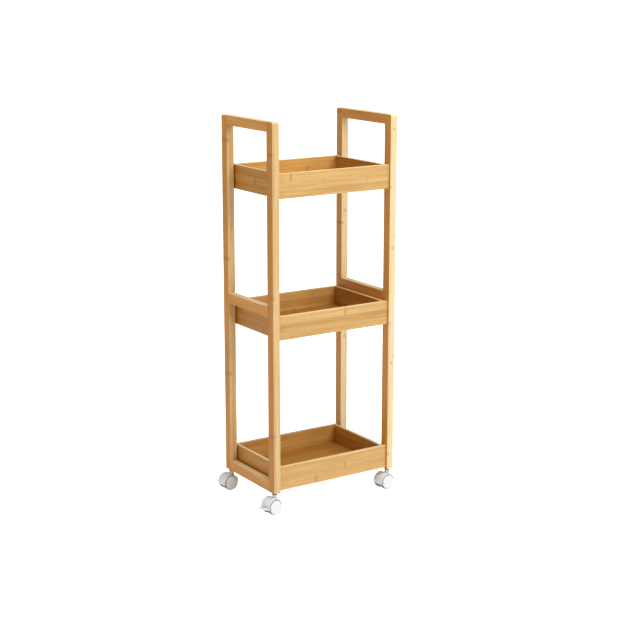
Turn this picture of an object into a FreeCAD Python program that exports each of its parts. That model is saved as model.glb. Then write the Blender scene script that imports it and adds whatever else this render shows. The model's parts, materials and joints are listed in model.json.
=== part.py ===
import FreeCAD, Part
import Sketcher

import math
import os
import re

# Rolling utility cart: two bamboo side frames carry three trays, on four twin-wheel casters.
# X runs from the left frame to the right one, Y from the front to the back, Z up from the floor.
# The origin is on the floor, midway between the four caster stems.

# Driving dimensions in mm, each the alias of a sheet cell
sizes = {
    # side frames
    "frameWide": 336,
    "frameDeep": 222,
    "postHigh": 850,
    "postWide": 18,
    "postDeep": 24,
    "topRailHigh": 23,
    "midRailHigh": 24,
    "midRailBase": 412,
    "cornerRound": 5,
    "edgeRound": 1.5,
    # trays
    "trayHigh": 56,
    "boardThick": 9,
    "faceSetback": 5,
    "endSetback": 3,
    "lowTrayBase": 4,
    "midTrayBase": 359,
    "topTrayBase": 680,
    "panelThick": 5,
    "panelTop": 12,
    "panelSlack": 0.2,
    "tongueThick": 3,
    "grooveDeep": 4,
    "grooveSlack": 0.2,
    # shelf pins, with spare holes for them above and below the middle tray
    "pinRadius": 2.5,
    "pinLong": 20,
    "pinHoleDeep": 11,
    "pinHoleStep": 56,
    "holeSlack": 0.05,
    # rail dowels
    "dowelRadius": 3,
    "dowelLong": 29,
    "dowelHoleDeep": 15,
    "dowelSpread": 6,
    # tray bolts, the inserts they screw into and the plugs over their heads
    "boltRadius": 2,
    "boltLong": 24,
    "boltHeadRadius": 4,
    "boltHeadHigh": 2.5,
    "boltPocketDeep": 7,
    "plugRadius": 5,
    "plugLong": 4,
    "insertRadius": 3,
    "insertLong": 14,
    "insertInset": 0.5,
    "insertHoleDeep": 20,
    # casters
    "casterRise": 48,
    "trail": 10,
    "axleHigh": 18,
    "axleRadius": 2,
    "axleLong": 26.6,
    "axleEndGap": 0.2,
    "studRadius": 4,
    "studLong": 12.5,
    "socketRadius": 5,
    "socketLong": 13,
    "collarRadius": 6,
    "collarHigh": 4.5,
    "spigotRadius": 3,
    "spigotLong": 15.5,
    "spigotGap": 0.5,
    "runningSlack": 0.06,
    "wheelRadius": 18,
    "treadThick": 2,
    "treadInner": 7,
    "treadOuter": 15.2,
    "treadRound": 0.8,
    "rimThick": 2.5,
    "hubRadius": 5,
    "hubInner": 2.3,
    "discInner": 13,
    "capStart": 15.4,
    "capRadius": 16.6,
    "capEdge": 16,
    "capRound": 0.4,
    "crownRadius": 9,
    "crownEdge": 16.9,
    "crownRound": 6,
    "shellInner": 18.7,
    "shellOuter": 19.9,
    "shellWide": 31,
    "shellRound": 0.5,
    "webWide": 4,
    "webHubRadius": 6,
    "rimReach": 25,
    "rimLead": 4.4,
    "rimDrop": 6.2,
    "bossRadius": 6.2,
    "bossLow": 24.5,
    "bossTop": 43.2,
    # brake lever
    "pivotBack": 21.5,
    "pivotHigh": 20,
    "trunnionRadius": 1.5,
    "trunnionLong": 9,
    "leverEyeRadius": 3,
    "leverWide": 10,
    "forkGap": 4.7,
    "forkEnd": 28.6,
    "leverNeck": 30,
    "leverNeckTop": 18.6,
    "leverNeckLow": 13.6,
    "leverTip": 43.5,
    "leverTipTop": 20.4,
    "leverTipLow": 17.8,
    "pedalWide": 19,
    "pedalStart": 31.5,
    "pedalTop": 19,
    "pedalLow": 15,
    "slotWide": 10.6,
    "slotStart": 26.2,
    "slotTop": 20.4,
}

# How far each caster is turned about Z, in degrees: at 0 its wheels trail straight to the left
headings = {"front_left": 9, "front_right": 7, "back_left": 3, "back_right": 5}
braked = ("front_left", "back_right")

vector = FreeCAD.Vector
upward = vector(0, 0, 1)

doc = FreeCAD.newDocument("UtilityCart")
sheet = doc.addObject("Spreadsheet::Sheet", "Sizes")
for row, (alias, amount) in enumerate(sizes.items(), start=1):
    sheet.set(f"A{row}", alias)
    sheet.set(f"B{row}", str(amount))
    sheet.setAlias(f"B{row}", alias)
doc.recompute()

parts = []


def formula(text):
    """The text as an expression, with each alias read from the sheet."""
    return re.sub(r"[A-Za-z]\w*", lambda word: f"Sizes.{word[0]}" if word[0] in sizes else word[0], text)


def value(text):
    """What a formula comes to, in mm."""
    return float(sheet.evalExpression(formula(text)))


def bind(thing, **formulas):
    for name, text in formulas.items():
        thing.setExpression(name, formula(text))
    return thing


def at(x, y, z):
    return FreeCAD.Placement(vector(x, y, z), FreeCAD.Rotation())


def turned(degrees, axis=upward):
    return FreeCAD.Placement(vector(0, 0, 0), FreeCAD.Rotation(axis, degrees))


def keep(thing, placement):
    """Makes thing a sub-part of the cart, standing at placement."""
    thing.Placement = placement
    parts.append(thing)


# For each axis: the plane across it, its sketch normal, and the way a pocket in it cuts
planes = {"X": ("YZ_Plane", 1, -1), "Y": ("XZ_Plane", -1, 1), "Z": ("XY_Plane", 1, -1)}


def newBody(label):
    return doc.addObject("PartDesign::Body", label)


def newSketch(body, axis, where="0"):
    """A sketch across the body's own axis, at the place on it that where gives."""
    role, normal, _ = planes[axis]
    plane = next(item for item in body.Origin.OriginFeatures if item.Role == role)
    sketch = body.newObject("Sketcher::SketchObject", body.Label + "_outline")
    sketch.AttachmentSupport = [(plane, "")]
    sketch.MapMode = "FlatFace"
    sketch.setExpression("AttachmentOffset.Base.z", formula(f"{normal} * ({where})"))
    return sketch


def pinPoint(sketch, geometry, point, x, y):
    """Fixes a point of the sketch at (x, y)."""
    for kind, text, zeroLine in (("DistanceX", x, -2), ("DistanceY", y, -1)):
        if text == "0":
            sketch.addConstraint(Sketcher.Constraint("PointOnObject", geometry, point, zeroLine))
        else:
            index = sketch.addConstraint(Sketcher.Constraint(kind, -1, 1, geometry, point, 1.0))
            sketch.setExpression(f"Constraints[{index}]", formula(text))


def drawPolygon(sketch, corners):
    """A closed outline through corners, each a pair of formulas."""
    count = len(corners)
    first = sketch.GeometryCount
    steps = [2 * math.pi * i / count for i in range(count)]
    ring = [vector(10 * math.cos(step), 10 * math.sin(step), 0) for step in steps]
    for i in range(count):
        sketch.addGeometry(Part.LineSegment(ring[i], ring[(i + 1) % count]), False)
    for i in range(count):
        following = first + (i + 1) % count
        sketch.addConstraint(Sketcher.Constraint("Coincident", first + i, 2, following, 1))
    for i, (x, y) in enumerate(corners):
        pinPoint(sketch, first + i, 1, x, y)


def drawRectangle(sketch, width, height, x="0", y="0"):
    """A rectangle of width by height, its middle at (x, y)."""
    left, right = f"({x}) - ({width}) / 2", f"({x}) + ({width}) / 2"
    low, high = f"({y}) - ({height}) / 2", f"({y}) + ({height}) / 2"
    drawPolygon(sketch, [(left, low), (right, low), (right, high), (left, high)])


def drawCircle(sketch, radius, x="0", y="0"):
    geometry = sketch.addGeometry(Part.Circle(vector(0, 0, 0), upward, 1), False)
    index = sketch.addConstraint(Sketcher.Constraint("Radius", geometry, 1.0))
    sketch.setExpression(f"Constraints[{index}]", formula(radius))
    pinPoint(sketch, geometry, 3, x, y)


def addPad(body, sketch, length, symmetric=False):
    made = body.newObject("PartDesign::Pad", body.Label + "_pad")
    made.Profile = sketch
    made.SideType = "Symmetric" if symmetric else "One side"
    return bind(made, Length=length)


def addPocket(body, sketch, length, axis=None, toward=0):
    """Cuts the sketch out, toward one way along axis, or both ways where none is given."""
    made = body.newObject("PartDesign::Pocket", body.Label + "_pocket")
    made.Profile = sketch
    made.SideType = "One side" if toward else "Symmetric"
    made.Reversed = bool(toward) and planes[axis][2] != toward
    return bind(made, Length=length)


def addRevolution(body, sketch):
    """Turns a sketch of (along, radius) corners about the sketch's own X line."""
    made = body.newObject("PartDesign::Revolution", body.Label + "_turning")
    made.Profile = sketch
    made.ReferenceAxis = (sketch, ["H_Axis"])
    made.Angle = 360
    return made


def addRounding(body, base, radius, wanted):
    """Rounds those edges of base that wanted picks."""
    doc.recompute()
    names = [f"Edge{i}" for i, edge in enumerate(base.Shape.Edges, start=1) if wanted(edge)]
    made = body.newObject("PartDesign::Fillet", body.Label + "_rounding")
    made.Base = (base, names)
    return bind(made, Radius=radius)


def runsAlong(edge, axis):
    if len(edge.Vertexes) < 2:
        return False
    span = edge.Vertexes[-1].Point - edge.Vertexes[0].Point
    return span.Length > 0 and abs(span.dot(axis)) > 0.999 * span.Length


def near(a, b):
    return abs(a - b) < 0.01


alongX, alongY = vector(1, 0, 0), vector(0, 1, 0)


# Side frames: a post's inner face meets the trays, its inner edges meet the rails

postX, postY = "((frameWide - postWide) / 2)", "((frameDeep - postDeep) / 2)"


def buildPost(label, side, end):
    """side is -1 on the left and 1 on the right, end is -1 at the front and 1 at the back."""
    body = newBody(label)
    outline = newSketch(body, "Z")
    drawRectangle(outline, "postWide", "postDeep")
    bar = addPad(body, outline, "postHigh")
    outerY, top = end * value("postDeep / 2"), value("postHigh")

    def isTopCorner(edge):
        middle = edge.CenterOfMass
        return near(middle.y, outerY) and near(middle.z, top)

    bar = addRounding(body, bar, "cornerRound", isTopCorner)

    def isExposed(edge):
        middle = edge.CenterOfMass
        inCorner = near(middle.x, 0) and middle.z > top / 2
        return not near(middle.y, -outerY) and not inCorner

    addRounding(body, bar, "edgeRound", isExposed)

    # shelf pin holes, and the far ends of the tray bolt holes, line up with the tray boards' middles
    boardLine = f"{end} * (postDeep / 2 - faceSetback - boardThick / 2)"
    pins = newSketch(body, "X", f"{-side} * postWide / 2")
    for step in (-1, 0, 1):
        height = f"midTrayBase + trayHigh / 2 + {step} * pinHoleStep"
        drawCircle(pins, "pinRadius + holeSlack", boardLine, height)
    addPocket(body, pins, "pinHoleDeep", "X", side)
    bolts = newSketch(body, "X")
    heads = newSketch(body, "X", f"{side} * postWide / 2")
    for base in ("lowTrayBase", "topTrayBase"):
        drawCircle(bolts, "boltRadius + holeSlack", boardLine, f"{base} + trayHigh / 2")
        drawCircle(heads, "plugRadius", boardLine, f"{base} + trayHigh / 2")
    addPocket(body, bolts, "postWide + 2")
    addPocket(body, heads, "boltPocketDeep", "X", -side)

    dowels = newSketch(body, "Y", f"{-end} * postDeep / 2")
    for height in railDowelHeights():
        drawCircle(dowels, "dowelRadius + holeSlack", "0", height)
    addPocket(body, dowels, "dowelHoleDeep", "Y", end)

    socket = newSketch(body, "Z")
    drawCircle(socket, "socketRadius + holeSlack")
    addPocket(body, socket, "socketLong", "Z", 1)
    keep(body, at(side * value(postX), end * value(postY), value("casterRise")))


rails = {"top": ("postHigh - topRailHigh", "topRailHigh", (-1, 1)),
         "middle": ("midRailBase", "midRailHigh", (-1, 1)),
         "bottom": ("0", "midRailHigh", (1,))}


def railDowelHeights():
    """Each dowel's height over the posts' feet; the bottom rail has only the one above the caster sockets."""
    return [f"{base} + {high} / 2 + {step} * dowelSpread"
            for base, high, steps in rails.values() for step in steps]


def buildRail(label, side, base, high, steps):
    body = newBody(label)
    outline = newSketch(body, "Z")
    drawRectangle(outline, "postWide", "frameDeep - 2 * postDeep")
    bar = addPad(body, outline, high)
    addRounding(body, bar, "edgeRound", lambda edge: runsAlong(edge, alongY))
    for end in (-1, 1):
        dowels = newSketch(body, "Y", f"{end} * (frameDeep / 2 - postDeep)")
        for step in steps:
            drawCircle(dowels, "dowelRadius + holeSlack", "0", f"{high} / 2 + {step} * dowelSpread")
        addPocket(body, dowels, "dowelHoleDeep", "Y", -end)
    keep(body, at(side * value(postX), 0, value(f"casterRise + {base}")))


# Trays: long boards run from frame to frame, end boards stand between them, the floor sits in grooves

trayLong = "(frameWide - 2 * postWide)"
insideLong = f"({trayLong} - 2 * endSetback - 2 * boardThick)"
insideDeep = "(frameDeep - 2 * faceSetback - 2 * boardThick)"
boardY = "(frameDeep / 2 - faceSetback - boardThick / 2)"


def cutGroove(body, axis, inward, long):
    """The floor's groove in a board's inner face, which looks inward along the axis."""
    groove = newSketch(body, axis, f"{inward} * boardThick / 2")
    drawRectangle(groove, long, "tongueThick + grooveSlack", "0", "panelTop - panelThick + tongueThick / 2")
    addPocket(body, groove, "grooveDeep", axis, -inward)


def buildLongBoard(label, end, base, endHole):
    body = newBody(label)
    outline = newSketch(body, "Z")
    drawRectangle(outline, trayLong, "boardThick")
    bar = addPad(body, outline, "trayHigh")
    addRounding(body, bar, "edgeRound", lambda edge: runsAlong(edge, alongX))
    cutGroove(body, "Y", -end, f"{insideLong} + 2 * grooveDeep")
    radius, deep = endHole
    for side in (-1, 1):
        hole = newSketch(body, "X", f"{side} * {trayLong} / 2")
        drawCircle(hole, radius, "0", "trayHigh / 2")
        addPocket(body, hole, deep, "X", -side)
    keep(body, at(0, end * value(boardY), value(f"casterRise + {base}")))


def buildEndBoard(label, side, base):
    body = newBody(label)
    outline = newSketch(body, "Z")
    drawRectangle(outline, "boardThick", insideDeep)
    bar = addPad(body, outline, "trayHigh")
    addRounding(body, bar, "edgeRound", lambda edge: runsAlong(edge, alongY))
    cutGroove(body, "X", -side, insideDeep)
    x = side * value("frameWide / 2 - postWide - endSetback - boardThick / 2")
    keep(body, at(x, 0, value(f"casterRise + {base}")))


def buildFloor(label, base):
    """A panel whose thin edge sits in the boards' grooves, below its raised middle."""
    body = newBody(label)
    tongue = newSketch(body, "Z")
    reach = "2 * (grooveDeep - grooveSlack)"
    drawRectangle(tongue, f"{insideLong} + {reach}", f"{insideDeep} + {reach}")
    addPad(body, tongue, "tongueThick")
    raised = newSketch(body, "Z", "tongueThick")
    drawRectangle(raised, f"{insideLong} - 2 * panelSlack", f"{insideDeep} - 2 * panelSlack")
    addPad(body, raised, "panelThick - tongueThick")
    keep(body, at(0, 0, value(f"casterRise + {base} + panelTop - panelThick")))


# Fasteners: each kind is one group of equal loose solids

def group(label, members):
    made = doc.addObject("Part::Compound", label)
    made.Links = members
    keep(made, at(0, 0, 0))


def rod(radius, long, place, toward):
    """A round bar that starts at place and points toward a direction."""
    made = doc.addObject("Part::Cylinder", "Rod")
    bind(made, Radius=radius, Height=long)
    made.Placement = FreeCAD.Placement(place, FreeCAD.Rotation(upward, toward))
    return made


def sleeve(outer, inner, long, place, toward):
    made = doc.addObject("Part::Cut", "Sleeve")
    made.Base = rod(outer, long, place, toward)
    made.Tool = rod(inner, long, place, toward)
    return made


corners = [(side, end) for side in (-1, 1) for end in (-1, 1)]


def buildDowels():
    rods = []
    for side, end in corners:
        for height in railDowelHeights():
            place = vector(side * value(postX), end * value("frameDeep / 2 - postDeep - dowelLong / 2"),
                           value(f"casterRise + {height}"))
            rods.append(rod("dowelRadius", "dowelLong", place, alongY * end))
    group("rail_dowels", rods)


def trayMiddle(base):
    return value(f"casterRise + {base} + trayHigh / 2")


def buildPins():
    pins = []
    for side, end in corners:
        place = vector(side * value("frameWide / 2 - postWide - pinLong / 2"), end * value(boardY),
                       trayMiddle("midTrayBase"))
        pins.append(rod("pinRadius", "pinLong", place, alongX * side))
    group("shelf_pins", pins)


def buildTrayBolts():
    bolts, inserts, plugs = [], [], []
    for base in ("lowTrayBase", "topTrayBase"):
        for side, end in corners:
            inward = alongX * -side
            face = vector(side * value("frameWide / 2"), end * value(boardY), trayMiddle(base))
            seat = face + inward * value("boltPocketDeep - boltHeadHigh")
            bolt = doc.addObject("Part::MultiFuse", "Bolt")
            bolt.Shapes = [rod("boltHeadRadius", "boltHeadHigh", seat, inward),
                           rod("boltRadius", "boltLong", seat, inward)]
            bolts.append(bolt)
            insertStart = face + inward * value("postWide + insertInset")
            inserts.append(sleeve("insertRadius", "boltRadius", "insertLong", insertStart, inward))
            plugs.append(rod("plugRadius - holeSlack", "plugLong", face, inward))
    group("tray_bolts", bolts)
    group("tray_inserts", inserts)
    group("bolt_plugs", plugs)


def casterPlace(name):
    """A caster's own frame: on the floor under its stem, turned to its heading."""
    side = -1 if name.endswith("left") else 1
    end = -1 if name.startswith("front") else 1
    return at(side * value(postX), end * value(postY), 0) * turned(headings[name])


def buildStems():
    """A stud in the post's socket, a collar under the post and a plain spigot that the hood turns on."""
    stems, sockets = [], []
    for name in headings:
        foot = casterPlace(name).Base + upward * value("casterRise")
        collar = rod("collarRadius", "collarHigh", foot, -upward)
        stud = rod("studRadius", "studLong", foot, upward)
        spigot = rod("spigotRadius", "spigotLong + collarHigh", foot, -upward)
        stem = doc.addObject("Part::MultiFuse", "Stem")
        stem.Shapes = [collar, stud, spigot]
        stems.append(stem)
        sockets.append(sleeve("socketRadius", "studRadius", "socketLong", foot, upward))
    group("caster_stems", stems)
    group("caster_sockets", sockets)


# Casters, each in its own frame: the stem stands on Z, the axle lies along Y and trails at -X

def buildHood(name):
    body = newBody(name + "_caster_hood")
    web = newSketch(body, "Y")
    drawCircle(web, "(shellInner + shellOuter) / 2", "-trail", "axleHigh")
    addPad(body, web, "webWide", symmetric=True)
    shell = newSketch(body, "Y")
    drawCircle(shell, "shellOuter", "-trail", "axleHigh")
    drawCircle(shell, "shellInner", "-trail", "axleHigh")
    addPad(body, shell, "shellWide", symmetric=True)
    below = newSketch(body, "Y")
    drawPolygon(below, [("-trail", "axleHigh"), ("-trail - rimReach", "axleHigh - rimDrop"),
                        ("-trail - rimReach", "-axleHigh"), ("-trail + rimReach", "-axleHigh"),
                        ("-trail + rimReach", "axleHigh + rimLead")])
    addPocket(body, below, "shellWide + 2")
    hub = newSketch(body, "Y")
    drawCircle(hub, "webHubRadius", "-trail", "axleHigh")
    addPad(body, hub, "webWide", symmetric=True)
    boss = newSketch(body, "Z", "bossLow")
    drawCircle(boss, "bossRadius")
    addPad(body, boss, "bossTop - bossLow")
    if name in braked:
        slot = newSketch(body, "Y")
        drawRectangle(slot, "rimReach", "2 * slotTop", "-slotStart - rimReach / 2", "0")
        addPocket(body, slot, "slotWide")
        trunnion = newSketch(body, "Y")
        drawCircle(trunnion, "trunnionRadius", "-pivotBack", "pivotHigh")
        addPad(body, trunnion, "trunnionLong", symmetric=True)
    bore = newSketch(body, "Z", "bossTop")
    drawCircle(bore, "spigotRadius + runningSlack")
    addPocket(body, bore, "spigotLong + spigotGap", "Z", -1)
    axleHole = newSketch(body, "Y")
    drawCircle(axleHole, "axleRadius", "-trail", "axleHigh")
    drilled = addPocket(body, axleHole, "2 * webWide")
    addRounding(body, drilled, "shellRound", isShellRim)
    keep(body, casterPlace(name))


def isShellRim(edge):
    """The hood's long outer edges, at each end of its shell."""
    curve = edge.Curve
    return (curve.TypeId == "Part::GeomCircle" and near(curve.Radius, value("shellOuter"))
            and near(abs(edge.CenterOfMass.y), value("shellWide / 2")))


def buildAxle(name):
    start = casterPlace(name) * at(-value("trail"), -value("axleLong / 2"), value("axleHigh"))
    pin = doc.addObject("Part::Cylinder", name + "_caster_axle")
    bind(pin, Radius="axleRadius", Height="axleLong")
    keep(pin, start * turned(-90, alongX))


def buildWheel(name, half, end):
    """A wheel core and its tread: half names it, end is -1 for the front wheel and 1 for the back one."""
    hubPlace = casterPlace(name) * at(-value("trail"), 0, value("axleHigh")) * turned(0 if end > 0 else 180)
    core = newBody(f"{name}_caster_{half}_wheel")
    profile = newSketch(core, "X")
    seat, bore, axleEnd = "wheelRadius - treadThick", "axleRadius + runningSlack", "axleLong / 2 + axleEndGap"
    drawPolygon(profile, [("hubInner", bore), ("hubInner", "hubRadius"), ("discInner", "hubRadius"),
                          ("discInner", f"{seat} - rimThick"), ("treadInner", f"{seat} - rimThick"),
                          ("treadInner", seat), ("capStart", seat), ("capStart", "capRadius"),
                          ("capEdge", "capRadius"), ("crownEdge", "crownRadius"), ("crownEdge", "0"),
                          (axleEnd, "0"), (axleEnd, bore)])
    turning = addRevolution(core, profile)

    def isCrown(edge):
        return edge.Curve.TypeId == "Part::GeomCircle" and near(edge.CenterOfMass.y, value("crownEdge"))

    turning = addRounding(core, turning, "crownRound", isCrown)

    def isCapEdge(edge):
        return edge.Curve.TypeId == "Part::GeomCircle" and near(edge.CenterOfMass.y, value("capEdge"))

    addRounding(core, turning, "capRound", isCapEdge)
    keep(core, hubPlace)

    tread = newBody(f"{name}_caster_{half}_tread")
    ring = newSketch(tread, "X")
    drawPolygon(ring, [("treadInner", seat), ("treadInner", "wheelRadius"),
                       ("treadOuter", "wheelRadius"), ("treadOuter", seat)])
    turning = addRevolution(tread, ring)

    def isShoulder(edge):
        return edge.Curve.TypeId == "Part::GeomCircle" and near(edge.Curve.Radius, value("wheelRadius"))

    addRounding(tread, turning, "treadRound", isShoulder)
    keep(tread, hubPlace)


def buildLever(name):
    """A forked lever that turns on the hood's trunnions and reaches out through its slot to a pedal."""
    body = newBody(name + "_brake_lever")
    outline = newSketch(body, "Y")
    drawPolygon(outline, [("-pivotBack", "pivotHigh + leverEyeRadius"), ("-leverNeck", "leverNeckTop"),
                          ("-leverTip", "leverTipTop"), ("-leverTip", "leverTipLow"),
                          ("-leverNeck", "leverNeckLow"), ("-pivotBack", "pivotHigh - leverEyeRadius")])
    addPad(body, outline, "leverWide", symmetric=True)
    pedal = newSketch(body, "Y")
    drawPolygon(pedal, [("-pedalStart", "pedalTop"), ("-leverTip", "leverTipTop"),
                        ("-leverTip", "leverTipLow"), ("-pedalStart", "pedalLow")])
    addPad(body, pedal, "pedalWide", symmetric=True)
    eye = newSketch(body, "Y")
    drawCircle(eye, "leverEyeRadius", "-pivotBack", "pivotHigh")
    addPad(body, eye, "leverWide", symmetric=True)
    fork = newSketch(body, "Y")
    drawRectangle(fork, "forkEnd", "2 * rimReach", "-forkEnd / 2", "pivotHigh")
    addPocket(body, fork, "forkGap")
    pivot = newSketch(body, "Y")
    drawCircle(pivot, "trunnionRadius + runningSlack", "-pivotBack", "pivotHigh")
    addPocket(body, pivot, "2 * leverWide")
    keep(body, casterPlace(name))


for sideName, side in (("left", -1), ("right", 1)):
    for endName, end in (("front", -1), ("back", 1)):
        buildPost(f"{sideName}_{endName}_post", side, end)
    for level, (base, high, steps) in rails.items():
        buildRail(f"{sideName}_{level}_rail", side, base, high, steps)

pinHole = ("pinRadius + holeSlack", "pinHoleDeep")
insertHole = ("insertRadius + holeSlack", "insertHoleDeep")
trays = {"bottom": ("lowTrayBase", insertHole),
         "middle": ("midTrayBase", pinHole),
         "top": ("topTrayBase", insertHole)}
for level, (base, endHole) in trays.items():
    for endName, end in (("front", -1), ("back", 1)):
        buildLongBoard(f"{level}_tray_{endName}_board", end, base, endHole)
    for sideName, side in (("left", -1), ("right", 1)):
        buildEndBoard(f"{level}_tray_{sideName}_end", side, base)
    buildFloor(f"{level}_tray_floor", base)

buildDowels()
buildPins()
buildTrayBolts()
buildStems()
for name in headings:
    buildHood(name)
    buildAxle(name)
    for half, end in (("front", -1), ("back", 1)):
        buildWheel(name, half, end)
    if name in braked:
        buildLever(name)

doc.recompute()
for thing in doc.Objects:
    if {"Invalid", "Error"} & set(thing.State):
        raise RuntimeError(f"{thing.Label} failed: {thing.State}")
for pocket in doc.findObjects("PartDesign::Pocket"):
    if pocket.Shape.Volume >= pocket.BaseFeature.Shape.Volume - 0.01:
        raise RuntimeError(f"{pocket.Label} cuts nothing")

os.makedirs("parts", exist_ok=True)
for part in parts:
    shape = part.Shape
    if shape.isNull() or not shape.isValid():
        raise RuntimeError(f"{part.Label} has no valid shape")
    shape.exportStep(f"parts/{part.Label}.step")
    print(f"{part.Label}: {len(shape.Solids)} solid, {shape.Volume / 1000:.2f} cm3")
print(f"{len(parts)} nodes")
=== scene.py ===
import json
import math

import bmesh
import bpy
from mathutils import Matrix, Vector


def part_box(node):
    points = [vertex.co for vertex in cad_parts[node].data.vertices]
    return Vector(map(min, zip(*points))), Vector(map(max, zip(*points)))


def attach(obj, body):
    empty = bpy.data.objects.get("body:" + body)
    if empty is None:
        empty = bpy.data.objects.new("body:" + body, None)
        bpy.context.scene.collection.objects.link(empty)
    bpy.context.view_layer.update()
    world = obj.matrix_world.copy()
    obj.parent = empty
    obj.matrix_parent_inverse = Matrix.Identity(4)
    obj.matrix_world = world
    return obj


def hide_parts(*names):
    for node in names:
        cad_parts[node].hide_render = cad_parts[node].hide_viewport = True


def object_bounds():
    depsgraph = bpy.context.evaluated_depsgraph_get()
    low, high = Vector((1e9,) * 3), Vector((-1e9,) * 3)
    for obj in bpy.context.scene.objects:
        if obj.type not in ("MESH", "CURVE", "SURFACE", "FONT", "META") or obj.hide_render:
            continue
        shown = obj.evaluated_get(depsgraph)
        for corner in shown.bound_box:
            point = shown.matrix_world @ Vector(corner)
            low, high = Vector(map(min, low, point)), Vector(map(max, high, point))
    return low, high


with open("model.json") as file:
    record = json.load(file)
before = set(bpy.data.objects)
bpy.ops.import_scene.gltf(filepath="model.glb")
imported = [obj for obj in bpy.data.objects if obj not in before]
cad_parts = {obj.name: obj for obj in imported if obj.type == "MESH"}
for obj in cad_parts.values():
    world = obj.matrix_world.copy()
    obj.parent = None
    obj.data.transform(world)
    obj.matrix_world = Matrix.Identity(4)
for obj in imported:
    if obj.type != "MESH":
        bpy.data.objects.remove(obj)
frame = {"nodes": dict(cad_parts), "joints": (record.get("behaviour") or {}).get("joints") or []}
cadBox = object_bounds()
nodes = frame["nodes"]
joints = {joint["name"]: joint for joint in frame["joints"]}
casterNames = [name[:-len("_swivel")] for name in joints if name.endswith("_swivel")]
mm = 0.001
mergeGap = 0.001 * mm
bevelAngle = math.radians(40)
sharpAngle = math.radians(32)


def addNode(tree, kind, inputs=None, **settings):
    made = tree.nodes.new(kind)
    for name, value in settings.items():
        setattr(made, name, value)
    for socket, value in (inputs or {}).items():
        if isinstance(value, bpy.types.NodeSocket):
            tree.links.new(value, made.inputs[socket])
        else:
            made.inputs[socket].default_value = value
    return made


def calc(tree, operation, *values):
    return addNode(tree, "ShaderNodeMath", dict(enumerate(values)), operation=operation).outputs[0]


def remap(tree, value, low, high, toLow=0.0, toHigh=1.0):
    limits = {"Value": value, "From Min": low, "From Max": high, "To Min": toLow, "To Max": toHigh}
    made = addNode(tree, "ShaderNodeMapRange", limits, interpolation_type="SMOOTHSTEP")
    return made.outputs["Result"]


def blendColors(tree, share, first, second, mode="MIX"):
    made = addNode(tree, "ShaderNodeMix", data_type="RGBA", blend_type=mode)
    # sockets 0, 6 and 7 are the share and the two colors
    for index, value in ((0, share), (6, first), (7, second)):
        if isinstance(value, bpy.types.NodeSocket):
            tree.links.new(value, made.inputs[index])
        else:
            made.inputs[index].default_value = value
    return made.outputs[2]


def joinVector(tree, x, y, z):
    return addNode(tree, "ShaderNodeCombineXYZ", {0: x, 1: y, 2: z}).outputs[0]


def noise(tree, vector, scale=1.0, detail=2.0, roughness=0.5):
    sockets = {"Vector": vector, "Scale": scale, "Detail": detail, "Roughness": roughness}
    return addNode(tree, "ShaderNodeTexNoise", sockets).outputs["Fac"]


def shaderGroup(name, inputs, outputs):
    # returns the tree, the sockets it is given and the sockets it hands on
    tree = bpy.data.node_groups.new(name, "ShaderNodeTree")
    for label, kind, value in inputs:
        socket = tree.interface.new_socket(label, in_out="INPUT", socket_type="NodeSocket" + kind)
        if value is not None:
            socket.default_value = value
    for label, kind in outputs:
        tree.interface.new_socket(label, in_out="OUTPUT", socket_type="NodeSocket" + kind)
    return tree, tree.nodes.new("NodeGroupInput").outputs, tree.nodes.new("NodeGroupOutput").inputs


def newMaterial(name, **constants):
    # a material with one Principled shader, whose plain numbers are set on its own sockets
    made = bpy.data.materials.new(name)
    made.use_nodes = True
    tree = made.node_tree
    shader = next(item for item in tree.nodes if item.type == "BSDF_PRINCIPLED")
    for label, value in constants.items():
        shader.inputs[label.replace("_", " ")].default_value = value
    return made, tree, shader


def placeGroup(tree, group, **inputs):
    made = tree.nodes.new("ShaderNodeGroup")
    made.node_tree = group
    for label, value in inputs.items():
        socket = made.inputs[label.replace("_", " ")]
        if isinstance(value, bpy.types.NodeSocket):
            tree.links.new(value, socket)
        else:
            socket.default_value = value
    return made.outputs


def addBump(tree, shader, height, distance, strength=1.0):
    sockets = {"Height": height, "Distance": distance, "Strength": strength}
    bump = addNode(tree, "ShaderNodeBump", sockets)
    tree.links.new(bump.outputs[0], shader.inputs["Normal"])


bambooSettings = {
    "glueWide": 0.4 * mm,
    "spacingLeast": 0.8,
    "spacingRange": 0.35,
    "shiftRange": 17.0,
    "cloudAlong": 60.0,
    "cloudAcross": 260.0,
    "wobble": 6 * mm,
    "lineFades": (0.3 * mm, 1.2 * mm),
    "haloMiddle": 1.2 * mm,
    "haloFades": (1 * mm, 6.5 * mm),
    # how often the fibres change in a metre along and across the strip, and their detail
    "fineStreaks": (38.0, 1700.0, 2.0),
    "mediumStreaks": (9.0, 420.0, 3.0),
    "wideStreaks": (4.0, 150.0, 2.0),
    "broadStreaks": (2.5, 50.0, 1.0),
    "endDots": (0.0, 1500.0, 1.0),
    # how much of the deep color each one brings, and then of the brown
    "stripShare": 0.4,
    "mediumShare": 0.32,
    "wideShare": 0.34,
    "broadShare": 0.2,
    "fineShare": 0.3,
    "haloShare": 0.42,
    "lineShare": 0.22,
    "glueShare": 0.18,
    "dotShare": 0.45,
    # how high or low each one stands
    "fineHeight": -0.35,
    "lineHeight": -0.5,
    "haloHeight": 0.35,
    "glueHeight": -0.8,
    "roughLeast": 0.38,
    "roughRange": 0.12,
}


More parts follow.
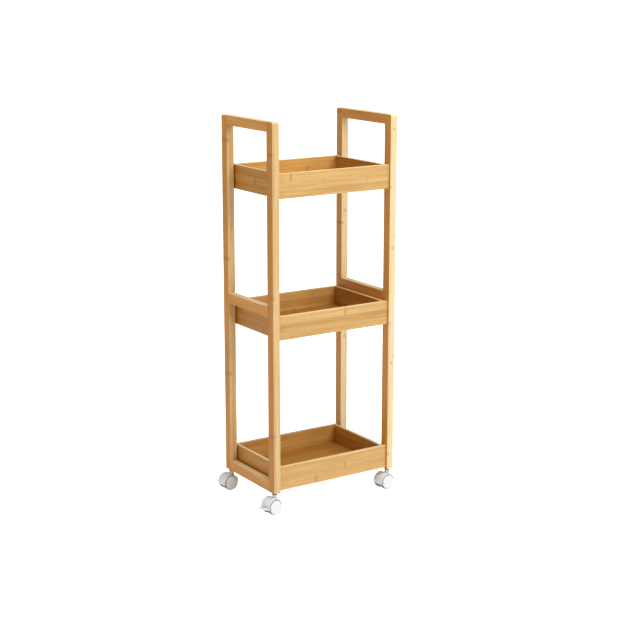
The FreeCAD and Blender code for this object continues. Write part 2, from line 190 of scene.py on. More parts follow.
def makeBambooGroup(settings):
    # bamboo strips glued side by side, each with its own tone, nodes and fibres
    inputs = [("Vector", "Vector", None), ("Facing Out", "Float", 0.0),
              ("Strip Width", "Float", 0.006), ("Strip Depth", "Float", 0.02),
              ("Node Spacing", "Float", 0.22), ("Seed", "Float", 0.0),
              ("Pale", "Color", (0.8, 0.55, 0.28, 1)), ("Deep", "Color", (0.6, 0.36, 0.14, 1)),
              ("Brown", "Color", (0.3, 0.14, 0.04, 1))]
    outputs = [("Color", "Color"), ("Roughness", "Float"), ("Height", "Float")]
    tree, given, result = shaderGroup("bambooStrips", inputs, outputs)
    split = addNode(tree, "ShaderNodeSeparateXYZ", {0: given["Vector"]}).outputs
    along, across, deep = split[0], split[1], split[2]

    # which strip a point is in, and how near it is to the glue line
    layer = calc(tree, "DIVIDE", deep, given["Strip Depth"])
    layerIndex = calc(tree, "FLOOR", layer)
    row = calc(tree, "DIVIDE", across, given["Strip Width"])
    rowIndex = calc(tree, "FLOOR", row)
    strip = joinVector(tree, rowIndex, layerIndex, given["Seed"])
    chance = addNode(tree, "ShaderNodeTexWhiteNoise", {"Vector": strip}, noise_dimensions="3D")
    chances = addNode(tree, "ShaderNodeSeparateColor", {0: chance.outputs["Color"]}).outputs

    def glueLine(position, width):
        middle = calc(tree, "ABSOLUTE", calc(tree, "SUBTRACT", calc(tree, "FRACT", position), 0.5))
        gap = calc(tree, "MULTIPLY", calc(tree, "SUBTRACT", 0.5, middle), width)
        return remap(tree, gap, 0.0, settings["glueWide"], 1.0, 0.0)

    sideGlue = glueLine(row, given["Strip Width"])
    glue = calc(tree, "MAXIMUM", sideGlue, glueLine(layer, given["Strip Depth"]))

    # the culm's nodes: a soft brown band with a thin line in it, placed by chance in each strip
    stretch = calc(tree, "MULTIPLY_ADD", chances[0],
                   settings["spacingRange"], settings["spacingLeast"])
    spacing = calc(tree, "MULTIPLY", given["Node Spacing"], stretch)
    shift = calc(tree, "MULTIPLY", chances[1], settings["shiftRange"])
    turns = calc(tree, "ADD", calc(tree, "DIVIDE", along, spacing), shift)
    crossing = joinVector(tree, calc(tree, "MULTIPLY", along, settings["cloudAlong"]),
                          calc(tree, "MULTIPLY", across, settings["cloudAcross"]),
                          calc(tree, "MULTIPLY", deep, settings["cloudAcross"]))
    cloud = noise(tree, crossing)
    wobble = calc(tree, "MULTIPLY", calc(tree, "SUBTRACT", cloud, 0.5), settings["wobble"])
    fromMiddle = calc(tree, "SUBTRACT", calc(tree, "FRACT", turns), 0.5)
    offset = calc(tree, "ADD", calc(tree, "MULTIPLY", fromMiddle, spacing), wobble)
    nodeLine = remap(tree, calc(tree, "ABSOLUTE", offset), *settings["lineFades"], 1.0, 0.0)
    beside = calc(tree, "ABSOLUTE", calc(tree, "SUBTRACT", offset, settings["haloMiddle"]))
    halo = remap(tree, beside, *settings["haloFades"], 1.0, 0.0)
    halo = calc(tree, "MULTIPLY", halo, remap(tree, cloud, 0.25, 0.6, 0.45, 1.0))
    strength = remap(tree, chances[2], 0.15, 0.9, 0.1, 1.0)

    # long fibres, from fine dark dashes to broad soft streaks
    def streaks(kind):
        lengthwise, crosswise, detail = settings[kind]
        far, side, depth = (calc(tree, "MULTIPLY", part, scale) for part, scale in
                            ((along, lengthwise), (across, crosswise), (deep, crosswise)))
        shifted = addNode(tree, "ShaderNodeVectorMath",
                          {0: joinVector(tree, far, side, depth), 1: strip}, operation="ADD")
        return noise(tree, shifted.outputs[0], detail=detail)

    fine = remap(tree, streaks("fineStreaks"), 0.5, 0.72)
    medium, wide, broad = (streaks(kind + "Streaks") for kind in ("medium", "wide", "broad"))

    tone = calc(tree, "MULTIPLY_ADD", chance.outputs["Value"], settings["stripShare"], -0.1)
    for kind, streak in (("medium", medium), ("wide", wide), ("broad", broad)):
        share = remap(tree, streak, 0.3, 0.7)
        tone = calc(tree, "MULTIPLY_ADD", share, settings[kind + "Share"], tone)
    color = blendColors(tree, tone, given["Pale"], given["Deep"])
    strongHalo, strongLine = (calc(tree, "MULTIPLY", mask, strength) for mask in (halo, nodeLine))
    for kind, mask in (("fine", fine), ("halo", strongHalo), ("line", strongLine), ("glue", glue)):
        share = calc(tree, "MULTIPLY", mask, settings[kind + "Share"])
        color = blendColors(tree, share, color, given["Brown"])

    # sawn ends show the fibres as dots, and soak up more lacquer
    dots = calc(tree, "MULTIPLY", remap(tree, streaks("endDots"), 0.46, 0.62), settings["dotShare"])
    endShare = remap(tree, given["Facing Out"], 0.6, 0.9)
    endColor = blendColors(tree, dots, given["Deep"], given["Brown"])
    tree.links.new(blendColors(tree, endShare, color, endColor), result["Color"])

    rough = settings["roughLeast"]
    for streak in (fine, medium):
        rough = calc(tree, "MULTIPLY_ADD", streak, settings["roughRange"], rough)
    tree.links.new(rough, result["Roughness"])
    height = 0.0
    for kind, mask in (("fine", fine), ("line", nodeLine), ("halo", halo), ("glue", glue)):
        height = calc(tree, "MULTIPLY_ADD", mask, settings[kind + "Height"], height)
    tree.links.new(height, result["Height"])
    return tree


def makeEdgeHighlightGroup():
    # a mask for a painted edge highlight: 1 on outer edges, broken up by noise
    inputs = [("Radius", "Float", 0.001), ("Amount", "Float", 1.0)]
    tree, given, result = shaderGroup("paintedEdgeHighlightMask", inputs, [("Mask", "Float")])
    rounded = addNode(tree, "ShaderNodeBevel", {"Radius": given["Radius"]}, samples=4)
    plain = addNode(tree, "ShaderNodeNewGeometry")
    dot = addNode(tree, "ShaderNodeVectorMath", {0: rounded.outputs[0], 1: plain.outputs["Normal"]},
                  operation="DOT_PRODUCT").outputs["Value"]
    edgeHighlight = remap(tree, dot, 0.8, 0.99, 1.0, 0.0)
    place = addNode(tree, "ShaderNodeTexCoord").outputs["Object"]
    broken = remap(tree, noise(tree, place, scale=90.0, detail=3.0), 0.35, 0.65, 0.4, 1.0)
    mask = calc(tree, "MULTIPLY", calc(tree, "MULTIPLY", edgeHighlight, broken), given["Amount"])
    tree.links.new(mask, result["Mask"])
    return tree


bambooGroup = makeBambooGroup(bambooSettings)
edgeHighlightGroup = makeEdgeHighlightGroup()

# colors of the strips, with painted shade laid over side faces, painted light over upward faces and
# a painted highlight over edges
boardLook = {
    "pale": (0.72, 0.505, 0.22, 1),
    "deep": (0.48, 0.27, 0.075, 1),
    "brown": (0.34, 0.14, 0.03, 1),
    "paintedSideShade": (0.81, 0.62, 0.31, 1),
    "paintedTopLight": (0.92, 0.77, 0.48, 1),
    "paintedTopLightShare": 0.6,
    "paintedEdgeHighlight": (0.78, 0.60, 0.36, 1),
    "edgeRadius": 1.2 * mm,
    "edgeHighlightShare": 0.35,
    "bumpDepth": 0.12 * mm,
    "nodeSpacing": 330 * mm,
}
# rails carry a lighter painted shade on their side faces
railLook = dict(boardLook, paintedSideShade=(1, 0.76, 0.4, 1))
# back boards are paler and more saturated: painted light standing in for the light inside the trays
backPaintedLightLook = dict(boardLook, pale=(0.87, 0.6, 0.245, 1), deep=(0.6, 0.335, 0.085, 1))
# floor panels are darker and more orange: partly the panels' own tone, partly painted shade inside
# the trays; they take no painted top light
panelLook = dict(boardLook, pale=(0.66, 0.36, 0.075, 1), deep=(0.45, 0.21, 0.028, 1), paintedTopLightShare=0)
# posts are paler than the boards, their own tone; the right posts are paler still, painted light
# standing in for the lamp nearer them
postLooks = {
    "left": dict(boardLook, pale=(0.76, 0.57, 0.3, 1), deep=(0.52, 0.325, 0.12, 1),
                 paintedSideShade=(0.82, 0.52, 0.16, 1)),
    "right": dict(boardLook, pale=(0.88, 0.73, 0.45, 1), deep=(0.73, 0.55, 0.28, 1),
                  paintedSideShade=(0.74, 0.46, 0.17, 1)),
}


facingFades = (0.5, 0.95)


def makeBamboo(name, look, seed, grain, pitch, stripWide, stripDeep):
    # grain and pitch are axis letters: the way the strips run, and the way they lie side by side
    made, tree, shader = newMaterial(name, Coat_Weight=0.12, Coat_Roughness=0.28, IOR=1.5)
    low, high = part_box(name)
    order = [grain, pitch, next(axis for axis in "XYZ" if axis not in (grain, pitch))]
    texture = addNode(tree, "ShaderNodeTexCoord").outputs
    centred = addNode(tree, "ShaderNodeMapping", {"Vector": texture["Object"], "Location": -low})
    place = addNode(tree, "ShaderNodeSeparateXYZ", {0: centred.outputs[0]}).outputs
    facing = addNode(tree, "ShaderNodeSeparateXYZ", {0: texture["Normal"]}).outputs
    vector = joinVector(tree, *(place[axis] for axis in order))
    endward = calc(tree, "ABSOLUTE", facing[grain])
    strips = placeGroup(tree, bambooGroup, Vector=vector, Facing_Out=endward, Seed=float(seed),
                        Strip_Width=stripWide, Strip_Depth=stripDeep,
                        Node_Spacing=look["nodeSpacing"],
                        Pale=look["pale"], Deep=look["deep"], Brown=look["brown"])
    # painted shade: sideways faces are darkened and made more orange, standing in for the shade
    # they fall in
    sideShadeMask = remap(tree, calc(tree, "ABSOLUTE", facing["X"]), *facingFades)
    color = blendColors(tree, sideShadeMask, strips["Color"], look["paintedSideShade"], "MULTIPLY")
    # painted light: upward faces are blended toward a paler tone, standing in for the light from
    # above
    topLightMask = remap(tree, facing["Z"], *facingFades, 0.0, look["paintedTopLightShare"])
    color = blendColors(tree, topLightMask, color, look["paintedTopLight"])
    # painted highlight: rounded edges are blended toward a lighter tone
    edgeHighlight = placeGroup(tree, edgeHighlightGroup, Radius=look["edgeRadius"], Amount=look["edgeHighlightShare"])["Mask"]
    tree.links.new(blendColors(tree, edgeHighlight, color, look["paintedEdgeHighlight"]), shader.inputs["Base Color"])
    tree.links.new(strips["Roughness"], shader.inputs["Roughness"])
    addBump(tree, shader, strips["Height"], look["bumpDepth"])
    return made


def cover(node, material):
    piece = nodes[node]
    piece.data.materials.clear()
    piece.data.materials.append(material)


def makeSpeckleGroup():
    # moulded surface: a fine texture for the bump and slight clouds in tone
    inputs = [("Grain Size", "Float", 0.4 * mm), ("Cloud Size", "Float", 8 * mm)]
    outputs = [("Clouds", "Float"), ("Grain", "Float")]
    tree, given, result = shaderGroup("mouldedSurface", inputs, outputs)
    place = addNode(tree, "ShaderNodeTexCoord").outputs["Object"]
    for label, size, detail in (("Clouds", "Cloud Size", 3.0), ("Grain", "Grain Size", 2.0)):
        scale = calc(tree, "DIVIDE", 1.0, given[size])
        tree.links.new(noise(tree, place, scale=scale, detail=detail), result[label])
    return tree


speckleGroup = makeSpeckleGroup()
# the painted edge highlight on moulded and plated parts
softEdgeHighlight = dict(Radius=0.5 * mm, Amount=0.3)
cloudRough = 0.08


def makePlastic(name, light, dark, rough, bump, **constants):
    # a moulded or plated surface between two close tones, with a painted highlight on its edges
    made, tree, shader = newMaterial(name, **constants)
    surface = placeGroup(tree, speckleGroup)
    edgeHighlight = placeGroup(tree, edgeHighlightGroup, **softEdgeHighlight)["Mask"]
    clouds = remap(tree, surface["Clouds"], 0.35, 0.65)
    color = blendColors(tree, clouds, light, dark)
    tree.links.new(blendColors(tree, edgeHighlight, color, light), shader.inputs["Base Color"])
    rough = calc(tree, "MULTIPLY_ADD", clouds, cloudRough, rough)
    tree.links.new(rough, shader.inputs["Roughness"])
    addBump(tree, shader, surface["Grain"], bump)
    return made


whiteFinish = dict(Subsurface_Weight=0.05, Subsurface_Scale=1 * mm, IOR=1.46)
hoodPlastic = makePlastic("hoodPlastic", (0.72, 0.72, 0.73, 1), (0.68, 0.68, 0.69, 1),
                          0.34, 0.012 * mm, **whiteFinish)
wheelPlastic = makePlastic("wheelPlastic", (0.73, 0.73, 0.735, 1), (0.7, 0.7, 0.705, 1),
                           0.3, 0.012 * mm, **whiteFinish)
greyTread = makePlastic("greyTread", (0.17, 0.17, 0.175, 1), (0.13, 0.13, 0.135, 1),
                        0.55, 0.03 * mm)
darkSteel = makePlastic("darkSteel", (0.12, 0.12, 0.13, 1), (0.08, 0.08, 0.09, 1),
                        0.3, 0.01 * mm, Metallic=1.0)
brightSteel = makePlastic("brightSteel", (0.62, 0.62, 0.63, 1), (0.52, 0.52, 0.54, 1),
                          0.22, 0.01 * mm, Metallic=1.0)

stripsAcross = 3
panelStrips = 9
wholeStrip = 20 * mm


def dressFrame():
    # posts, rails, boards and ends are three strips across, panels nine, and small pieces one
    seed = 1
    for node in sorted(nodes):
        low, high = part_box(node)
        size = high - low
        if node.endswith("_post"):
            look = postLooks[node.split("_")[0]]
            cover(node, makeBamboo(node, look, seed, "Z", "X", size.x / stripsAcross, size.y))
        elif node.endswith("_rail"):
            cover(node, makeBamboo(node, railLook, seed, "Y", "X", size.x / stripsAcross, size.z))
        elif node.endswith("_board"):
            look = backPaintedLightLook if "_back_" in node else boardLook
            cover(node, makeBamboo(node, look, seed, "X", "Z", size.z / stripsAcross, size.y))
        elif node.endswith("_end"):
            strip = size.z / stripsAcross
            cover(node, makeBamboo(node, boardLook, seed, "Y", "Z", strip, size.x))
        elif node.endswith("_floor"):
            cover(node, makeBamboo(node, panelLook, seed, "X", "Y", size.y / panelStrips, size.z))
        elif node == "bolt_plugs":
            cover(node, makeBamboo(node, boardLook, seed, "Z", "Y", wholeStrip, size.x))
        elif node == "rail_dowels":
            cover(node, makeBamboo(node, boardLook, seed, "Y", "X", wholeStrip, wholeStrip))
        elif node == "shelf_pins":
            cover(node, brightSteel)
        else:
            continue
        seed += 1
    print("materials on", seed - 1, "frame pieces")


dressFrame()

for node in nodes:
    if node.endswith("_tread"):
        cover(node, greyTread)
    elif node.endswith("_axle") or node in ("caster_sockets", "tray_bolts", "tray_inserts"):
        cover(node, brightSteel)


def makeMesh(name, verts, faces):
    mesh = bpy.data.meshes.new(name)
    work = bmesh.new()
    points = [work.verts.new(vert) for vert in verts]
    for face in faces:
        work.faces.new([points[index] for index in face])
    bmesh.ops.remove_doubles(work, verts=work.verts, dist=mergeGap)
    bmesh.ops.recalc_face_normals(work, faces=work.faces)
    work.to_mesh(mesh)
    work.free()
    return mesh


def turned(name, outline, steps, ring=True):
    # turns an outline of (radius, height) in mm about Z; a ring's outline closes on itself
    verts, rows, faces = [], [], []
    for radius, height in outline:
        first = len(verts)
        if radius == 0:
            verts.append((0, 0, height * mm))
            rows.append([first] * steps)
            continue
        for step in range(steps):
            angle = math.tau * step / steps
            x, y = radius * mm * math.cos(angle), radius * mm * math.sin(angle)
            verts.append((x, y, height * mm))
        rows.append(list(range(first, first + steps)))
    for low, high in zip(rows, rows[1:] + rows[:1] if ring else rows[1:]):
        for step in range(steps):
            after = (step + 1) % steps
            corners = list(dict.fromkeys((low[step], low[after], high[after], high[step])))
            if len(corners) > 2:
                faces.append(corners)
    return makeMesh(name, verts, faces)


def slab(name, outline, wide):
    # a flat plate whose outline of (x, z) in mm stands in the caster's middle plane
    count = len(outline)
    verts = [(x * mm, side * wide / 2 * mm, z * mm) for side in (-1, 1) for x, z in outline]
    faces = [list(range(count)), list(range(count, 2 * count))]
    faces += [(k, (k + 1) % count, count + (k + 1) % count, count + k) for k in range(count)]
    return makeMesh(name, verts, faces)


def newObject(name, mesh):
    made = bpy.data.objects.new(name, mesh)
    bpy.context.scene.collection.objects.link(made)
    return made


def bake(piece):
    # leaves a plain mesh with what the modifiers made
    made = piece.evaluated_get(bpy.context.evaluated_depsgraph_get())
    mesh = bpy.data.meshes.new_from_object(made)
    piece.modifiers.clear()
    piece.data = mesh
    return piece


def addBevel(piece, width, segments=2):
    bevel = piece.modifiers.new("bevel", "BEVEL")
    bevel.width = width * mm
    bevel.segments = segments
    bevel.limit_method = "ANGLE"
    bevel.angle_limit = bevelAngle


def cutOut(piece, cutter):
    cut = piece.modifiers.new("cut", "BOOLEAN")
    cut.operation = "DIFFERENCE"
    cut.object = cutter


def joined(name, parts):
    # one mesh from several objects, which are removed
    work = bmesh.new()
    for part in parts:
        work.from_mesh(part.data)
        bpy.data.objects.remove(part)
    mesh = bpy.data.meshes.new(name)
    work.to_mesh(mesh)
    work.free()
    return newObject(name, mesh)


def finishPiece(piece, place, material, body, slot, *replaced):
    piece.data.transform(place)
    piece.data.materials.clear()
    piece.data.materials.append(material)
    piece.data.shade_smooth()
    piece.data.set_sharp_from_angle(angle=sharpAngle)
    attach(piece, body)
    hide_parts(*replaced)


def geometryGroup(name, inputs):
    tree = bpy.data.node_groups.new(name, "GeometryNodeTree")
    tree.interface.new_socket("Geometry", in_out="INPUT", socket_type="NodeSocketGeometry")
    for label, kind in inputs:
        tree.interface.new_socket(label, in_out="INPUT", socket_type="NodeSocket" + kind)
    tree.interface.new_socket("Geometry", in_out="OUTPUT", socket_type="NodeSocketGeometry")
    return tree, tree.nodes.new("NodeGroupInput").outputs, tree.nodes.new("NodeGroupOutput").inputs


def endGroup(tree, parts, given, result):
    # joins the parts, makes the instances real and gives them their material
    join = tree.nodes.new("GeometryNodeJoinGeometry")
    for part in parts:
        tree.links.new(part, join.inputs[0])
    real = addNode(tree, "GeometryNodeRealizeInstances", {0: join.outputs[0]}).outputs[0]
    sockets = {"Geometry": real, "Material": given["Material"]}
    colored = addNode(tree, "GeometryNodeSetMaterial", sockets)
    tree.links.new(colored.outputs[0], result["Geometry"])


def grow(piece, tree, **values):
    modifier = piece.modifiers.new(tree.name, "NODES")
    modifier.node_group = tree
    for item in tree.interface.items_tree:
        label = item.name.replace(" ", "_")
        if item.in_out == "INPUT" and label in values:
            modifier[item.identifier] = values[label]
    return bake(piece)


def makeSpokeTree():
    # flat ribs that stand round Z between two radii
    inputs = [("Count", "Int"), ("Inner Radius", "Float"), ("Outer Radius", "Float"),
              ("Low", "Float"), ("High", "Float"), ("Thickness", "Float"),
              ("Material", "Material")]
    tree, given, result = geometryGroup("spokeRing", inputs)
    reach = calc(tree, "SUBTRACT", given["Outer Radius"], given["Inner Radius"])
    rise = calc(tree, "SUBTRACT", given["High"], given["Low"])
    middle = calc(tree, "MULTIPLY_ADD", reach, 0.5, given["Inner Radius"])
    level = calc(tree, "MULTIPLY_ADD", rise, 0.5, given["Low"])
    circle = {"Vertices": given["Count"], "Radius": middle}
    ring = addNode(tree, "GeometryNodeMeshCircle", circle).outputs[0]
    lift = joinVector(tree, 0, 0, level)
    lifted = addNode(tree, "GeometryNodeTransform", {"Geometry": ring, "Translation": lift})
    size = joinVector(tree, reach, given["Thickness"], rise)
    rib = addNode(tree, "GeometryNodeMeshCube", {"Size": size})
    outward = addNode(tree, "GeometryNodeInputPosition").outputs[0]
    flat = addNode(tree, "ShaderNodeVectorMath", {0: outward, 1: (1, 1, 0)}, operation="MULTIPLY")
    turn = addNode(tree, "FunctionNodeAlignRotationToVector", {"Vector": flat.outputs[0]},
                   axis="X", pivot_axis="Z")
    sockets = {"Points": lifted.outputs[0], "Instance": rib.outputs[0], "Rotation": turn.outputs[0]}
    placed = addNode(tree, "GeometryNodeInstanceOnPoints", sockets)
    endGroup(tree, (given["Geometry"], placed.outputs[0]), given, result)
    return tree


def makeGripTree():
    # round bars across a slope, one after another
    inputs = [("Count", "Int"), ("Start", "Vector"), ("Step", "Vector"), ("Bar Radius", "Float"),
              ("Bar Length", "Float"), ("Material", "Material")]
    tree, given, result = geometryGroup("gripBars", inputs)
    line = {"Count": given["Count"], "Start Location": given["Start"], "Offset": given["Step"]}
    row = addNode(tree, "GeometryNodeMeshLine", line).outputs[0]
    sizes = {"Vertices": 12, "Radius": given["Bar Radius"], "Depth": given["Bar Length"]}
    bar = addNode(tree, "GeometryNodeMeshCylinder", sizes).outputs[0]
    quarterTurn = (math.radians(90), 0, 0)
    across = addNode(tree, "GeometryNodeTransform", {"Geometry": bar, "Rotation": quarterTurn})
    sockets = {"Points": row, "Instance": across.outputs[0]}
    placed = addNode(tree, "GeometryNodeInstanceOnPoints", sockets)
    endGroup(tree, (given["Geometry"], placed.outputs[0]), given, result)
    return tree


def makeRowTree():
    # one piece repeated on each point of a mesh
    inputs = [("Piece", "Object"), ("Material", "Material")]
    tree, given, result = geometryGroup("pieceOnPoints", inputs)
    one = addNode(tree, "GeometryNodeObjectInfo", {"Object": given["Piece"]}).outputs["Geometry"]
    sockets = {"Points": given["Geometry"], "Instance": one}
    placed = addNode(tree, "GeometryNodeInstanceOnPoints", sockets)
    endGroup(tree, (placed.outputs[0],), given, result)
    return tree


spokeTree, gripTree, rowTree = makeSpokeTree(), makeGripTree(), makeRowTree()

# a caster has its own frame, in mm: stem on Z, axle along Y, wheels trailing toward -X
axleBack, axleHigh = 10, 18

hoodSettings = {
    "radius": 19.9,
    "wide": 31,
    "wall": 1.2,
    "crown": 0.7,
    "flatHalf": 6,
    "bead": 0.3,
    "beadInset": (0.1, 1),
    "edgeLoops": (0, 0.6, 1.2, 2),
    "innerLoops": (-12, -8),
    "bevel": 0.3,
    "roofSteps": 56,
    "slotSteps": 13,
    "startAngle": 10,
    "slotAngle": 173.1,
    "endAngle": 193.9,
    "slotWide": 10.6,
    "slotStart": 26.2,
    "webWide": 4,
    "webRadius": 19.1,
    "webSteps": 48,
    "webBevel": 0.25,
    "hubRadius": 6,
    "hubSteps": 24,
    "neckSteps": 48,
    "neck": [(3.06, 27.2), (3.06, 42.9), (3.4, 43.2), (5.3, 43.2), (5.9, 42.6), (5.9, 41.5),
             (5.6, 41.2), (5.6, 40.7), (5.9, 40.4), (6.2, 38.5), (6.2, 24.5), (0, 24.5), (0, 27.2)],
    "pinSteps": 24,
    "pin": [(0, -4.5), (1.5, -4.5), (1.5, 4.5), (0, 4.5)],
}
wheelSettings = {
    "outline": [(2.06, 2.3), (4.7, 2.3), (5, 2.6), (5, 12.4), (5.6, 13), (12.9, 13), (13.5, 12.4),
                (13.5, 7.3), (13.8, 7), (16, 7), (16, 15.4), (16.3, 15.4), (16.6, 15.6),
                (16.5, 15.9), (16.2, 16.05), (15.3, 16.1), (15.05, 15.85), (14.6, 15.85),
                (14.3, 16.15), (12, 16.42), (9, 16.65), (6, 16.8), (3, 16.88), (0, 16.9),
                (0, 13.5), (2.06, 13.5)],
    "steps": 72,
    "spokes": dict(Count=8, Inner_Radius=4.6 * mm, Outer_Radius=13.9 * mm, Low=6 * mm,
                   High=13.4 * mm, Thickness=1.2 * mm),
}
leverSettings = {
    "pivot": (-21.5, 20),
    "eyeRadius": 3,
    "eyeSteps": 12,
    "neck": [(-30, 18.6), (-32, 18.9), (-32, 14.4), (-30, 13.6)],
    "neckWide": 10,
    "neckBevel": 0.4,
    "pedal": [(-31.5, 19), (-35, 18.9), (-39, 19.3), (-42.6, 20.4), (-43.5, 20), (-43.5, 18.6),
              (-43, 17.9), (-39, 16.6), (-35, 15.6), (-31.5, 15)],
    "pedalWide": 19,
    "pedalBevel": 0.7,
    "forkGap": 4.7,
    "forkEnd": 28.6,
    "forkTall": 40,
    "grip": dict(Count=5, Start=(-34.4 * mm, 0, 18.75 * mm), Step=(-1.5 * mm, 0, 0.22 * mm),
                 Bar_Radius=0.4 * mm, Bar_Length=16 * mm),
}
stemSettings = {
    "outline": [(0, 27.7), (2.6, 27.7), (3, 28.1), (3, 43.5), (5.3, 43.5), (6, 44.1), (6, 47.5),
                (5.6, 48), (4, 48), (4, 60), (3.5, 60.5), (0, 60.5)],
    "steps": 48,
}


def casterPlace(name):
    stem = joints[name + "_swivel"]["pos_m"]
    side = Vector(joints[name + "_front_wheel_spin"]["axis"])
    up = Vector((0, 0, 1))
    turn = Matrix((side.cross(up), side, up)).transposed().to_4x4()
    return Matrix.Translation((stem[0], stem[1], 0)) @ turn


def rimPoint(radius, angle):
    angle = math.radians(angle)
    return -axleBack + radius * math.cos(angle), axleHigh + radius * math.sin(angle)


def spread(first, last, count):
    return [first + (last - first) * step / (count - 1) for step in range(count)]


def makeShell(settings, slotted):
    # a curved roof over both wheels, crowned across, with a bead along each edge
    half = settings["wide"] / 2
    slotHalf = settings["slotWide"] / 2
    flat = settings["flatHalf"]
    beadEnd, beadStart = (half - inset for inset in settings["beadInset"])
    across = [-half + inset for inset in settings["edgeLoops"]]
    across += [*settings["innerLoops"], -slotHalf, 0]
    across += [-y for y in reversed(across[:-1])]
    angles = spread(settings["startAngle"], settings["slotAngle"], settings["roofSteps"])
    angles += spread(settings["slotAngle"], settings["endAngle"], settings["slotSteps"])[1:]
    verts = []
    for angle in angles:
        for y in across:
            fall = settings["crown"] * max(0, (abs(y) - flat) / (half - flat)) ** 2
            bead = settings["bead"] if beadStart < abs(y) < beadEnd else 0
            x, z = rimPoint(settings["radius"] - fall + bead, angle)
            verts.append((x * mm, y * mm, z * mm))
    wide = len(across)
    faces = []
    for row in range(len(angles) - 1):
        for column in range(wide - 1):
            middle = (across[column] + across[column + 1]) / 2
            inSlot = angles[row] >= settings["slotAngle"] and abs(middle) < slotHalf
            if not (slotted and inSlot):
                first = row * wide + column
                faces.append((first, first + 1, first + wide + 1, first + wide))
    shell = newObject("shell", makeMesh("shell", verts, faces))
    wall = shell.modifiers.new("wall", "SOLIDIFY")
    wall.thickness = settings["wall"] * mm
    wall.offset = -1
    addBevel(shell, settings["bevel"])
    return bake(shell)


def makeHood(name, settings):
    # the shell, a web between the wheels, the neck round the stem, and the lever's pin
    slotted = name + "_brake_lever" in nodes
    webEnd = settings["slotAngle"] if slotted else settings["endAngle"]
    rim = [rimPoint(settings["webRadius"], angle) for angle in
           spread(settings["startAngle"], webEnd, settings["webSteps"])]
    if slotted:
        reach = settings["slotStart"] - axleBack
        slope = math.tan(math.radians(settings["endAngle"] - 180))
        rim += [(-settings["slotStart"], z) for z in (rim[-1][1], axleHigh - reach * slope)]
    rim += [rimPoint(settings["hubRadius"], angle) for angle in
            spread(settings["endAngle"], settings["startAngle"] + 360, settings["hubSteps"])]
    web = newObject("web", slab("web", rim, settings["webWide"]))
    addBevel(web, settings["webBevel"])
    bake(web)
    neck = newObject("neck", turned("neck", settings["neck"], settings["neckSteps"]))
    parts = [makeShell(settings, slotted), web, neck]
    if slotted:
        pin = newObject("pin", turned("pin", settings["pin"], settings["pinSteps"], ring=False))
        x, z = leverSettings["pivot"]
        place = Matrix.Translation((x * mm, 0, z * mm))
        pin.data.transform(place @ Matrix.Rotation(math.radians(90), 4, "X"))
        parts.append(pin)
    hood = joined(name + "_hood", parts)
    finishPiece(hood, casterPlace(name), hoodPlastic, name + "_caster", "white_plastic",
                name + "_caster_hood")


def makeWheel(name, half, settings):
    mesh = turned("wheel", settings["outline"], settings["steps"])
    wheel = newObject(f"{name}_{half}_wheel", mesh)
    grow(wheel, spokeTree, Material=wheelPlastic, **settings["spokes"])
    outward = Matrix.Rotation(math.radians(90 if half == "front" else -90), 4, "X")
    hub = Matrix.Translation((-axleBack * mm, 0, axleHigh * mm))
    finishPiece(wheel, casterPlace(name) @ hub @ outward, wheelPlastic, f"{name}_{half}_wheel",
                "white_plastic", f"{name}_caster_{half}_wheel")


def makeLever(name, settings):
    # a forked neck on the pivot, and a wide pedal with grip bars outside the hood
    x, z = settings["pivot"]
    radius = settings["eyeRadius"]
    eye = [(x + radius * math.cos(angle), z + radius * math.sin(angle))
           for angle in spread(-math.pi / 2, math.pi / 2, settings["eyeSteps"])]
    neck = newObject("neck", slab("neck", eye + settings["neck"], settings["neckWide"]))
    end, tall = -settings["forkEnd"], settings["forkTall"]
    corners = [(0, 0), (end, 0), (end, tall), (0, tall)]
    gap = newObject("gap", slab("gap", corners, settings["forkGap"]))
    cutOut(neck, gap)
    addBevel(neck, settings["neckBevel"])
    bake(neck)
    bpy.data.objects.remove(gap)
    pedal = newObject("pedal", slab("pedal", settings["pedal"], settings["pedalWide"]))
    addBevel(pedal, settings["pedalBevel"], segments=3)
    bake(pedal)
    lever = joined(name + "_lever", (neck, pedal))
    grow(lever, gripTree, Material=wheelPlastic, **settings["grip"])
    finishPiece(lever, casterPlace(name), wheelPlastic, name + "_brake", "white_plastic",
                name + "_brake_lever")


def makeStems(settings):
    # one stem, repeated on a point under each swivel
    one = newObject("stem", turned("stem", settings["outline"], settings["steps"], ring=False))
    points = bpy.data.meshes.new("stems")
    places = [joints[name + "_swivel"]["pos_m"] for name in casterNames]
    points.from_pydata([(place[0], place[1], 0) for place in places], [], [])
    stems = newObject("stems", points)
    grow(stems, rowTree, Piece=one, Material=darkSteel)
    bpy.data.objects.remove(one)
    finishPiece(stems, Matrix.Identity(4), darkSteel, "cart_frame", "caster_steel", "caster_stems")


for name in casterNames:
    makeHood(name, hoodSettings)
    for half in ("front", "back"):
        makeWheel(name, half, wheelSettings)
    if name + "_brake_lever" in nodes:
        makeLever(name, leverSettings)
makeStems(stemSettings)
print("casters made:", ", ".join(casterNames))


stageSettings = {
    "floorHalf": 30,
    "floorColor": (0.9, 0.9, 0.9, 1),
    "floorTint": (0.88, 0.88, 0.88, 1),
    "floorGrain": 3.0,
    "seenGlow": 0.8,
    "bounceGlow": 0.22,
    "worldSeen": 1.1,
    "worldGlow": 0.4,
    "keyPlace": (1.3, -4.2, 2.75),
    "keySize": 1.9,
    "keyPower": 80,
    "topPlace": (0, -0.8, 3.0),
    "topSize": 1.6,
    "topPower": 40,
    "fillPlace": (-3.2, -0.6, 1.2),
    "fillSize": 2.0,
    "fillPower": 12,
}


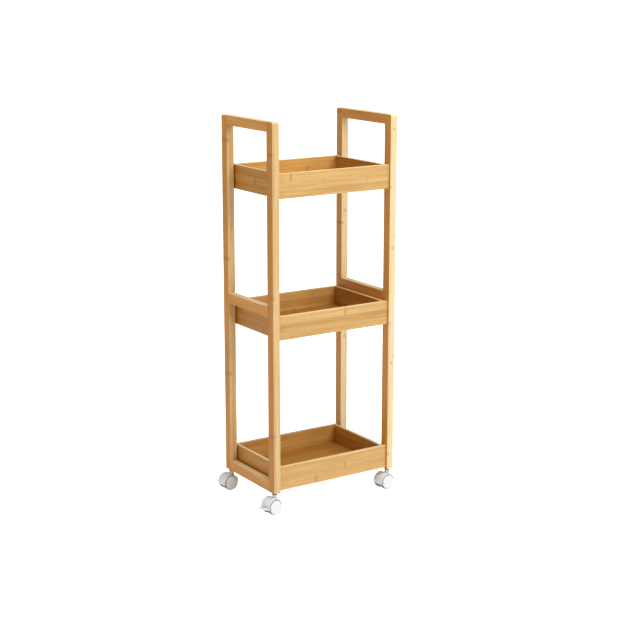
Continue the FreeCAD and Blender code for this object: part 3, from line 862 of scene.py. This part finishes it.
def makeStage(settings):
    # floor and sky look white to the camera, and light the cart more softly than that
    half = settings["floorHalf"]
    mesh = bpy.data.meshes.new("floor")
    corners = [(-half, -half, 0), (half, -half, 0), (half, half, 0), (-half, half, 0)]
    mesh.from_pydata(corners, [], [(0, 1, 2, 3)])
    floor = bpy.data.objects.new("floor", mesh)
    bpy.context.scene.collection.objects.link(floor)
    made, tree, shader = newMaterial("paleFloor", Roughness=0.9)
    place = addNode(tree, "ShaderNodeTexCoord").outputs["Object"]
    grain = noise(tree, place, scale=settings["floorGrain"], detail=4.0)
    tint = blendColors(tree, grain, settings["floorColor"], settings["floorTint"])
    tree.links.new(tint, shader.inputs["Base Color"])
    shader.inputs["Emission Color"].default_value = (1, 1, 1, 1)
    seen = addNode(tree, "ShaderNodeLightPath").outputs["Is Camera Ray"]
    lit = remap(tree, seen, 0.0, 1.0, settings["bounceGlow"], settings["seenGlow"])
    tree.links.new(lit, shader.inputs["Emission Strength"])
    mesh.materials.append(made)

    world = bpy.data.worlds.new("studio")
    world.use_nodes = True
    bpy.context.scene.world = world
    back = next(item for item in world.node_tree.nodes if item.type == "BACKGROUND")
    seen = addNode(world.node_tree, "ShaderNodeLightPath").outputs["Is Camera Ray"]
    glow = remap(world.node_tree, seen, 0.0, 1.0, settings["worldGlow"], settings["worldSeen"])
    world.node_tree.links.new(glow, back.inputs["Strength"])
    back.inputs["Color"].default_value = (1, 1, 1, 1)


def addAreaLight(name, place, size, power, target):
    data = bpy.data.lights.new(name, "AREA")
    data.size = size
    data.energy = power
    made = bpy.data.objects.new(name, data)
    made.location = place
    made.rotation_euler = (Vector(target) - Vector(place)).to_track_quat("-Z", "Y").to_euler()
    bpy.context.scene.collection.objects.link(made)


makeStage(stageSettings)
middle = (cadBox[0] + cadBox[1]) / 2
for kind in ("key", "top", "fill"):
    addAreaLight(kind + "Light", stageSettings[kind + "Place"], stageSettings[kind + "Size"],
                 stageSettings[kind + "Power"], middle)

cameraSettings = {"place": (-1.8385, -2.8319, 1.2244), "yaw": 33.02, "pitch": 13.09, "lens": 85.55}


def makeCamera(settings):
    camera = bpy.data.objects.new("camera", bpy.data.cameras.new("camera"))
    camera.data.lens = settings["lens"]
    camera.location = settings["place"]
    tilt, turn = math.radians(90 - settings["pitch"]), -math.radians(settings["yaw"])
    camera.rotation_euler = (tilt, 0, turn)
    bpy.context.scene.collection.objects.link(camera)
    bpy.context.scene.camera = camera


makeCamera(cameraSettings)
bpy.context.scene.view_settings.view_transform = "Standard"
bpy.context.scene.view_settings.look = "Medium High Contrast"
print("stage, lights and camera set")
